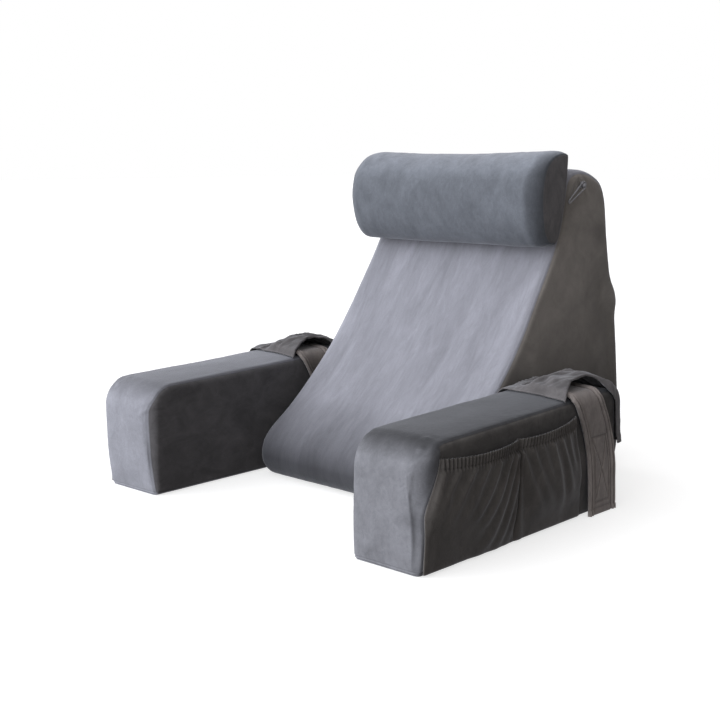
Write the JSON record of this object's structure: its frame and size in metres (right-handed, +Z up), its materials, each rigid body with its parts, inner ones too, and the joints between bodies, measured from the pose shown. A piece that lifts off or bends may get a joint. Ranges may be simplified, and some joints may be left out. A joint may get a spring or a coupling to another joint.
{
  "type": "wedge reading pillow",
  "caption": "Velvet reading pillow set: wedge back cushion, armrest cushions with side pockets, and a half-moon neck pillow.",
  "frame": {"origin": "centre of the whole set's footprint, on the floor", "axes": "+X across the set towards the arm on the sitter's left, +Y towards the wedge's back, +Z up"},
  "size_m": [0.91, 0.8529, 0.6665],
  "materials": {
    "velvet": "short-pile velvet",
    "neck_velvet": "short-pile velvet",
    "trim": "velvet band and cord",
    "metal": "satin"
  },
  "bodies": {
    "root": {"wedge_cushion": "velvet", "neck_pillow": "neck_velvet", "arm_right": "velvet", "arm_left": "velvet", "pocket_right": "velvet", "pocket_left": "velvet", "hood_right": "velvet", "hood_left": "velvet", "strap_right": "trim", "strap_left": "trim", "zip_slider": "metal", "zip_pull": "metal", "hanger_tab_right": "trim", "hanger_tab_left": "trim", "hanger_button_right": "trim", "hanger_button_left": "trim", "hanger_loop_right": "trim", "hanger_loop_left": "trim", "zip_tape": "trim"}
  },
  "joints": []
}
